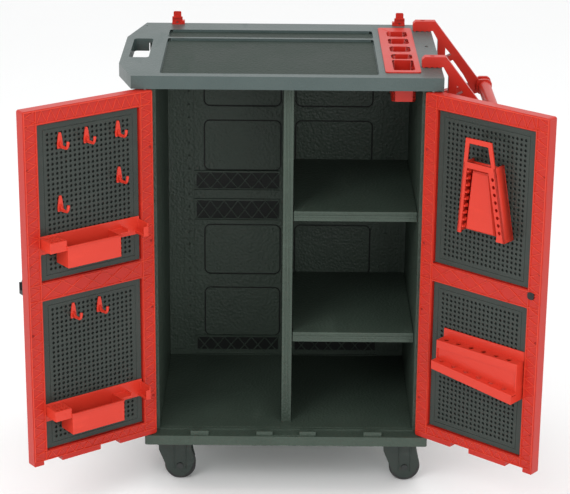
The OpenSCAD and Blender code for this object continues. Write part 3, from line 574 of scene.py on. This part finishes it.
for body in ("left_door", "right_door"):
    eased(body + "_frame", 0.0012, red, "red_plastic")
    low, high = own_box(body + "_frame")
    windows = [own_box(body.replace("door", level_name) + "_pegboard") for level_name in ("lower", "upper")]
    ribs = bmesh.new()
    foot, crown = low.z + notch, high.z - inner + line_wide / 2
    for u in (low.x + line_in + line_wide / 2, high.x - inner + line_wide / 2):
        braced(ribs, (u, foot), (0, 1, 0), high.z - foot - crown_gap, rib_band, 34)
    span = high.x - low.x - 2 * post
    braced(ribs, (low.x + post, foot), (1, 0, 0), span, rib_band - foot_less, 11)
    braced(ribs, (low.x + post, crown), (1, 0, 0), span, rib_band, 11)
    rail_low, rail_high = windows[0][1].z + rail_gap, windows[1][0].z - rail_gap
    braced(ribs, (low.x + post, rail_low), (1, 0, 0), span, rail_high - rail_low, 5, True)
    for u in (low.x + line_in, low.x + inner, high.x - inner, high.x - line_in):
        bar(ribs, (u, foot), (u, high.z - end_gap), line_wide, line_high)
    lines = [foot, high.z - line_in]
    for window_low, window_high in windows:
        lines += [window_low.z - window_gap, window_high.z + window_gap]
    for z in lines:
        bar(ribs, (low.x + line_in, z), (high.x - line_in, z), line_wide, line_high - 0.0001)
    settle(piece_from(ribs, body + "_ribs", rib_red_painted_highlight, hung(body) @ upright), body, "red_plastic")

# ---------- pegboards ----------
# Grey plates with a close field of small round holes, let into the windows; a
# sunk line runs round each field. A near-black sheet behind each plate is painted shade,
# seen through the holes and in the gap round the plate.
board_grey = moulded("pegboard_plastic", (0.026, 0.034, 0.029, 1), (0.042, 0.052, 0.045, 1),
                     0.30, 0.0036, 0.00025)
hole_pitch, hole_size, board_thick, board_gap, board_margin = 0.0108, 0.0031, 0.0026, 0.0018, 0.015
backing_gap, backing_thick, backing_corner = 0.0012, 0.0004, 0.0025


def punched_cell(wide, tall, radius, thick):
    """One square of plate with a round hole through it, open at its outer edges."""
    shape = bmesh.new()
    eighths = [math.radians(turned) for turned in range(0, 360, 45)]
    ring = [(radius * math.cos(a), radius * math.sin(a)) for a in eighths]
    square = [(0.5, 0), (0.5, 0.5), (0, 0.5), (-0.5, 0.5), (-0.5, 0), (-0.5, -0.5), (0, -0.5), (0.5, -0.5)]
    square = [(x * wide, y * tall) for x, y in square]
    lips = [(radius * 1.26, 0.0), (radius, -0.0006), (radius, -thick)]
    levels = [[shape.verts.new((x, y, 0)) for x, y in square]]
    for size, depth in lips:
        levels.append([shape.verts.new((x * size / radius, y * size / radius, depth)) for x, y in ring])
    levels.append([shape.verts.new((x, y, -thick)) for x, y in square])
    for here, next_one in zip(levels, levels[1:]):
        for i in range(8):
            j = (i + 1) % 8
            shape.faces.new((here[i], here[j], next_one[j], next_one[i]))
    return shape


def widen(shape, rim, half, out, sink):
    """Carries a plate's open rim outwards by one step."""
    made = bmesh.ops.extrude_edge_only(shape, edges=rim)["geom"]
    corners = {g for g in made if isinstance(g, bmesh.types.BMVert)}
    for corner in corners:
        for axis in (0, 1):
            if abs(abs(corner.co[axis]) - half[axis]) < 1e-5:
                corner.co[axis] += math.copysign(out[axis], corner.co[axis])
        corner.co.z += sink
    half[0] += out[0]
    half[1] += out[1]
    return [g for g in made if isinstance(g, bmesh.types.BMEdge) and set(g.verts) <= corners]


for node in ("left_upper_pegboard", "left_lower_pegboard", "right_upper_pegboard", "right_lower_pegboard"):
    low, high = own_box(node)
    body = frame["nodes"][node]["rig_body"]
    size = (high.x - low.x - 2 * board_gap, high.z - low.z - 2 * board_gap)
    columns = int((size[0] - 2 * board_margin) / hole_pitch)
    rows = int((size[1] - 2 * board_margin) / hole_pitch)
    cell = punched_cell(hole_pitch, hole_pitch, hole_size, board_thick)
    board = repeated("grid", cell, board_grey, Pitch=hole_pitch, Rise=hole_pitch, Count=columns, Rows=rows)
    bmesh.ops.remove_doubles(board, verts=board.verts, dist=1e-5)
    open_edges = [e for e in board.edges if len(e.link_faces) == 1]
    field = (columns * hole_pitch / 2, rows * hole_pitch / 2)
    left_over = (size[0] / 2 - field[0], size[1] / 2 - field[1])
    rim = [e for e in open_edges if e.verts[0].co.z > -1e-4 and e.verts[1].co.z > -1e-4]
    back_rim = [e for e in open_edges if e not in set(rim)]
    half = list(field)
    taken = 0
    for out, sink in ((0.005, 0), (0.0006, -0.0009), (0.0012, 0), (0.0006, 0.0009)):
        rim = widen(board, rim, half, (out, out), sink)
        taken += out
    rim = widen(board, rim, half, (left_over[0] - taken, left_over[1] - taken), 0)
    rim = widen(board, rim, half, (0, 0), -board_thick)
    widen(board, back_rim, list(field), left_over, 0)
    middle = (low + high) / 2
    place = hung(body) @ Matrix.Translation((middle.x, high.y, middle.z)) @ upright
    settle(piece_from(board, node + "_plate", board_grey, place), body, "grey_pegboard", node)
    # A near-black sheet behind the plate: painted shade seen through the holes and round the plate's edge.
    shade_backing = bmesh.new()
    plate(shade_backing, rounded(low.x, low.z, high.x, high.z, backing_corner, 3), [], backing_thick)
    place = hung(body) @ Matrix.Translation((0, high.y - board_thick - backing_gap, 0)) @ upright
    settle(piece_from(shade_backing, node + "_backing", painted_shade, place), body, "grey_pegboard")

# ---------- hooks and trays ----------
# Snap-in holders of a brighter red on the left door: slim curved hooks, and two
# trays, each with a bit block, an open bin with a rolled rim and an end bracket.
fitting_red = moulded("fitting_plastic", (0.60, 0.036, 0.019, 1), (0.68, 0.052, 0.028, 1),
                      0.34, 0.0030, 0.00012)
flat_door = {body: hung(body) @ upright for body in hinges}


def wire(shape, points, radius):
    """A round moulded arm that follows points."""
    drawing = bpy.data.curves.new("arm", "CURVE")
    drawing.dimensions, drawing.bevel_depth, drawing.bevel_resolution = "3D", radius, 3
    drawing.use_fill_caps = True
    shape.from_mesh(drawn_mesh(drawing, [points], False, Matrix.Identity(4)))


def solids(node):
    """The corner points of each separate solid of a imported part."""
    shape = bmesh.new()
    shape.from_mesh(frame["nodes"][node].data)
    bmesh.ops.remove_doubles(shape, verts=shape.verts, dist=weld)
    seen, groups = set(), []
    for first in shape.verts:
        if first in seen:
            continue
        seen.add(first)
        group = [first]
        for vert in group:
            beside = [edge.other_vert(vert) for edge in vert.link_edges]
            group += [other for other in beside if other not in seen]
            seen.update(beside)
        groups.append([vert.co.copy() for vert in group])
    shape.free()
    return groups


board_face = own_box("left_upper_pegboard")[1].y
home = flat_door["left_door"].inverted()
spots = []
for group in solids("left_door_hooks"):
    low, high = box_of([home @ p for p in group])
    spots.append(((low.x + high.x) / 2, high.y, board_face))
leaf_thick, arm_radius, arm_drop, arm_reach = 0.0032, 0.0031, 0.029, 0.0248
curl_rise, curl_deep = 0.016, 0.010
half_leaf = [(0.0066, -0.026), (0.0042, -0.008), (0.0022, 0)]
leaf = [(-0.0062, -0.034), (0.0062, -0.034)] + half_leaf + [(-x, y) for x, y in half_leaf[::-1]]
curl = []
for turned in range(0, 91, 18):
    angle = math.radians(turned)
    curl.append((0, curl_rise * (1 - math.cos(angle)) - arm_drop, arm_reach + curl_deep * math.sin(angle)))
hook = bmesh.new()
plate(hook, leaf, [], leaf_thick)
wire(hook, [(0, -0.020, 0.0015), (0, -0.0275, 0.008), (0, -arm_drop, 0.016)] + curl, arm_radius)
wire(hook, [(0, -0.031, 0.001), (0, -arm_drop, 0.020)], arm_radius)
hooks = repeated("points", hook, fitting_red, points=spots)
settle(piece_from(hooks, "left_door_hook_set", fitting_red, flat_door["left_door"]), "left_door",
       "red_plastic", "left_door_hooks")
bin_far, bin_near, bin_deep, bin_wall = -0.170, -0.040, 0.043, 0.0026
rim_drop, rim_out, rim_thick = 0.018, 0.0016, 0.0022
for node in ("left_upper_tray", "left_lower_tray"):
    eased(node, 0.0009, fitting_red, "red_plastic")
    low, high = own_box(node)
    start, end = high.x + bin_far, high.x + bin_near
    outer = rounded(start - rim_out, board_face, end + rim_out, bin_deep + rim_out, 0.003, 4)
    mouth = rounded(start + bin_wall, board_face + bin_wall, end - bin_wall, bin_deep - bin_wall, 0.002, 4)
    rim = bmesh.new()
    plate(rim, outer, [mouth], rim_thick)
    place = hung("left_door") @ Matrix.Translation((0, 0, high.z - rim_drop))
    settle(piece_from(rim, node + "_rim", fitting_red, place), "left_door", "red_plastic")
eased("left_door_keeper", 0.0006, black, "black_plastic")

# ---------- racks and latch ----------
# On the right door: a spanner rack with a carrying loop, comb teeth and a row of
# holes, a two-step screwdriver rack, and the black turning latch.
low, high = own_box("wrench_rack")
reach, tall = high.y, high.z - low.z
slope_left, slope_right = 0.014, -0.043
loop_low, loop_high = tall - 0.052, tall - 0.010
front_thick, back_thick, wall_thick, strip = 0.0050, 0.003, 0.003, 0.017
pins, pin_radius, teeth, tooth_wide, tooth_high = 8, 0.0042, 9, 0.0075, 0.010


def rack_u(side, z):
    """Where the rack's left or right edge stands at a height above its foot."""
    share = z / tall
    return low.x + slope_left * share if side == "left" else high.x + slope_right * share


def rack_shape(*corners):
    """Corners given as (edge, step in from that edge, height above the foot)."""
    return [(rack_u(edge, z) + (step if edge == "left" else -step), low.z + z) for edge, step, z in corners]


def rack_plate(rack, outline, holes, thick, depth):
    """Adds a flat plate to the rack, from a depth towards the open side."""
    sheet = bmesh.new()
    plate(sheet, outline, holes, thick)
    joined(rack, sheet, Matrix.Translation((0, 0, depth)))


rack = bmesh.new()
outline = rack_shape(("left", 0, 0), ("left", strip * 0.55, 0), ("left", 0.009, loop_low - 0.012),
                     ("right", strip, loop_low - 0.012), ("right", strip, 0.012), ("right", strip + 0.004, 0),
                     ("right", 0, 0), ("right", 0, tall), ("left", 0, tall))
holes = [rack_shape(("left", 0.008, loop_low), ("right", 0.008, loop_low), ("right", 0.009, loop_high),
                    ("left", 0.009, loop_high))]
for i in range(pins):
    z = 0.020 + i * (loop_low - 0.045) / (pins - 1)
    u = rack_u("right", z) - strip * 0.55
    around = [math.tau * k / 10 for k in range(10)]
    holes.append([(u + pin_radius * math.cos(a), low.z + z + pin_radius * math.sin(a)) for a in around])
rack_plate(rack, outline, holes, front_thick, reach - front_thick)
for side_edge in ("left", "right"):
    outline = rack_shape((side_edge, 0, 0), (side_edge, wall_thick, 0), (side_edge, wall_thick, loop_low),
                         (side_edge, 0, loop_low))
    rack_plate(rack, outline, [], reach - board_face, board_face)
back_top, keel_top = loop_low - 0.006, loop_low - 0.020
outline = rack_shape(("left", 0, 0), ("right", 0, 0), ("right", 0, back_top), ("left", 0, back_top))
rack_plate(rack, outline, [], back_thick, board_face)
keel = bmesh.new()
rings = []
for inset, depth in ((0, board_face + 0.002), (0, 0.016), (0.003, 0.020)):
    ring = rack_shape(("left", 0.013 + inset, 0.006 + inset), ("right", 0.030 + inset, 0.006 + inset),
                      ("right", 0.024 + inset, keel_top - inset), ("left", 0.016 + inset, keel_top - inset))
    rings.append([keel.verts.new((u, z, depth)) for u, z in ring])
for here, above in zip(rings, rings[1:]):
    for i in range(4):
        keel.faces.new((here[i], here[(i + 1) % 4], above[(i + 1) % 4], above[i]))
keel.faces.new(rings[0][::-1])
keel.faces.new(rings[-1])
joined(rack, keel)
for i in range(teeth):
    z = 0.014 + i * (loop_low - 0.034) / (teeth - 1)
    tooth = bmesh.new()
    root = rack_u("left", z)
    bar(tooth, (root - 0.0005, low.z + z), (root + 0.0135, low.z + z), tooth_wide, tooth_high)
    joined(rack, tooth, Matrix.Translation((0, 0, reach - 0.012)))
settle(piece_from(rack, "spanner_rack", fitting_red, flat_door["right_door"]), "right_door", "red_plastic",
       "wrench_rack")

eased("driver_rack", 0.0012, fitting_red, "red_plastic")
low, high = own_box("driver_rack")
skirt_in, skirt_top, skirt_left, skirt_right = 0.001, 0.021, 0.067, 0.088
skirt_thick, skirt_out = 0.0025, 0.0184
skirt = bmesh.new()
outline = [(low.x + skirt_in, high.z - skirt_left), (high.x - skirt_in, high.z - skirt_right),
           (high.x - skirt_in, high.z - skirt_top), (low.x + skirt_in, high.z - skirt_top)]
plate(skirt, outline, [], skirt_thick)
place = flat_door["right_door"] @ Matrix.Translation((0, 0, skirt_out))
settle(piece_from(skirt, "driver_rack_front", fitting_red, place), "right_door", "red_plastic")
eased("turn_latch", 0.0008, black, "black_plastic")

# ---------- door outsides ----------
# A low raised border round two flat fields on the outer face of each door.
border_in, border_wide, border_high, border_round = 0.042, 0.007, 0.0012, 0.018
for body in hinges:
    low, high = own_box(body + "_frame")
    middle = (low.z + high.z) / 2
    borders = bmesh.new()
    for z0, z1 in ((low.z + border_in, middle - border_in / 2), (middle + border_in / 2, high.z - border_in)):
        outside = rounded(low.x + border_in, z0, high.x - border_in, z1, border_round)
        inside = rounded(low.x + border_in + border_wide, z0 + border_wide, high.x - border_in - border_wide,
                         z1 - border_wide, border_round - border_wide)
        ring = bmesh.new()
        plate(ring, outside, [inside], 2 * border_high)
        joined(borders, ring, Matrix.Translation((0, 0, low.y - border_high)))
    settle(piece_from(borders, body + "_outer_borders", red, flat_door[body]), body, "red_plastic")

# ---------- metalwork ----------
# Hinge pins of brushed bright zinc with a cloudy bloom; caster plates, kingpins
# and axles of a blackened zinc.
zinc = Finish("zinc_plate")
zinc_place = zinc.node("ShaderNodeTexCoord", {}, {}, "Object")
brush = zinc.clouds(zinc_place, 0.004, 6, (1, 1, 0.08))
bloom = zinc.clouds(zinc_place, 0.02, 4)
zinc.wear(Base_Color=zinc.tint(bloom, (0.50, 0.51, 0.53, 1), (0.66, 0.65, 0.60, 1)), Metallic=1.0,
          Roughness=zinc.spread(brush, 0.2, 0.8, 0.28, 0.50), Normal=zinc.relief(brush, 0.00006))
wheels_at = ("front_left", "front_right", "rear_left", "rear_right")
dark_zinc = Finish("blackened_zinc")
dark_place = dark_zinc.node("ShaderNodeTexCoord", {}, {}, "Object")
dark_bloom = dark_zinc.clouds(dark_place, 0.006, 5)
dark_zinc.wear(Base_Color=dark_zinc.tint(dark_bloom, (0.030, 0.034, 0.034, 1), (0.075, 0.080, 0.078, 1)),
               Metallic=0.85, Roughness=dark_zinc.spread(dark_bloom, 0.2, 0.8, 0.34, 0.55),
               Normal=dark_zinc.relief(dark_bloom, 0.00008))
eased("hinge_pins", 0.0004, zinc.material, "zinc_steel")
for node in ["caster_plates", "kingpins"] + ["axle_" + place_name for place_name in wheels_at]:
    eased(node, 0.0004, dark_zinc.material, "zinc_steel")


# ---------- screws ----------
# Pan-head screws with a cross recess: painted ones on the doors, dark ones in
# the handle feet, the worktop, the cabinet's rear and the caster plates.
def pan_head(radius, high):
    """A domed head with a cross pressed into it, standing on Z = 0."""
    shape = bmesh.new()
    steps = 16
    arm, reach = radius * 0.16, radius * 0.52
    cross = [(arm, arm), (arm, reach), (-arm, reach), (-arm, arm), (-reach, arm), (-reach, -arm), (-arm, -arm),
             (-arm, -reach), (arm, -reach), (arm, -arm), (reach, -arm), (reach, arm)]
    rings = []
    for share, lift in ((1.0, 0.0), (1.0, 0.35), (0.88, 0.75), (0.68, 1.0)):
        rings.append([shape.verts.new((radius * share * math.cos(math.tau * i / steps),
                                       radius * share * math.sin(math.tau * i / steps), lift * high))
                      for i in range(steps)])
    for here, above in zip(rings, rings[1:]):
        for i in range(steps):
            j = (i + 1) % steps
            shape.faces.new((here[i], here[j], above[j], above[i]))
    shape.faces.new(rings[0][::-1])
    rim_edges = [shape.edges.get((rings[-1][i], rings[-1][(i + 1) % steps])) for i in range(steps)]
    mouth = [shape.verts.new((x, y, high)) for x, y in cross]
    pit = [shape.verts.new((x * 0.8, y * 0.8, high * 0.25)) for x, y in cross]
    mouth_edges = [shape.edges.new((mouth[i - 1], mouth[i])) for i in range(len(cross))]
    bmesh.ops.triangle_fill(shape, use_beauty=True, edges=rim_edges + mouth_edges)
    for i in range(len(cross)):
        shape.faces.new((mouth[i - 1], mouth[i], pit[i], pit[i - 1]))
    shape.faces.new(pit)
    return shape


def screw_set(radius, high, points, out):
    """Screw heads at points, facing out."""
    turn = Vector(out).to_track_quat("Z", "Y").to_euler()
    return repeated("points", pan_head(radius, high), dark_zinc.material, points=points, Turn=turn)


def screwed(heads, name, finish, body, node):
    """Makes the piece of screw heads that stands for a packed set of screws."""
    settle(piece_from(heads, name, finish, Matrix.Identity(4)), body, "zinc_steel", node)


screw_red = moulded("painted_screw", (0.30, 0.012, 0.009, 1), (0.36, 0.018, 0.012, 1), 0.36, 0.0020, 0.00005)
side_in, lower_screws, upper_screws = 0.003, (0.0595, 0.2695), (0.0395, 0.2495)
for body in hinges:
    low, high = own_box(body + "_screws")
    heights = []
    for level_name, rises in (("lower", lower_screws), ("upper", upper_screws)):
        board_low = own_box(body.replace("door", level_name) + "_pegboard")[0]
        heights += [board_low.z + rise_up for rise_up in rises]
    place = hung(body)
    points = [place @ Vector((u, 0.0002, z)) for u in (low.x + side_in, high.x - side_in) for z in heights]
    heads = screw_set(0.0028, 0.0012, points, place.to_3x3() @ Vector((0, 1, 0)))
    screwed(heads, body + "_screw_heads", screw_red, body, body + "_screws")


def cabinet_screws(node, name, upward, sideways, axis):
    """Heads at the outer ends of a set of screws that stand up or lie along an axis.

    Each kind is given as its radius, its height and how far its seat lies in from the screw's end.
    """
    heads = bmesh.new()
    for group in solids(node):
        low, high = box_of(group)
        standing = high.z - low.z > high[axis] - low[axis]
        radius, tall, sunk_in = upward if standing else sideways
        along = 2 if standing else axis
        spot = (low + high) / 2
        spot[along] = high[along] - sunk_in
        joined(heads, screw_set(radius, tall, [spot], [float(i == along) for i in range(3)]))
    screwed(heads, name, dark_zinc.material, "cabinet", node)


cabinet_screws("handle_screws", "handle_screw_heads", (0.004, 0.002, 0.0022), (0.004, 0.002, 0.0022), 0)
cabinet_screws("body_screws", "panel_screw_heads", (0.003, 0.0016, 0.0016), (0.004, 0.002, 0.002), 1)
under = []
for group in solids("caster_plate_screws"):
    low, high = box_of(group)
    under.append(Vector(((low.x + high.x) / 2, (low.y + high.y) / 2, low.z + 0.0012)))
caster_heads = screw_set(0.0038, 0.0014, under, (0, 0, -1))
screwed(caster_heads, "caster_screw_heads", dark_zinc.material, "cabinet", "caster_plate_screws")

# ---------- casters ----------
# Hooded swivel forks of dark plastic over wheels with a dull, scuffed rubber
# tread that has a little dust on it.
tread = Finish("rubber_tread")
tread_place = tread.node("ShaderNodeTexCoord", {}, {}, "Object")
scrub = tread.clouds(tread_place, 0.003, 5)
dust = tread.spread(tread.clouds(tread_place, 0.014, 4), 0.5, 0.75)
tread.wear(Base_Color=tread.tint(dust * 0.6, (0.016, 0.016, 0.017, 1), (0.07, 0.066, 0.06, 1)),
           Roughness=0.62 + dust * 0.2, Normal=tread.relief(scrub, 0.00015))
fork_grey = moulded("fork_plastic", (0.024, 0.034, 0.029, 1), (0.040, 0.052, 0.046, 1), 0.32, 0.0026, 0.00015)
for place_name in wheels_at:
    eased("fork_" + place_name, 0.0010, fork_grey, "black_plastic")
    eased("wheel_" + place_name, 0.0008, tread.material, "wheel_tread")
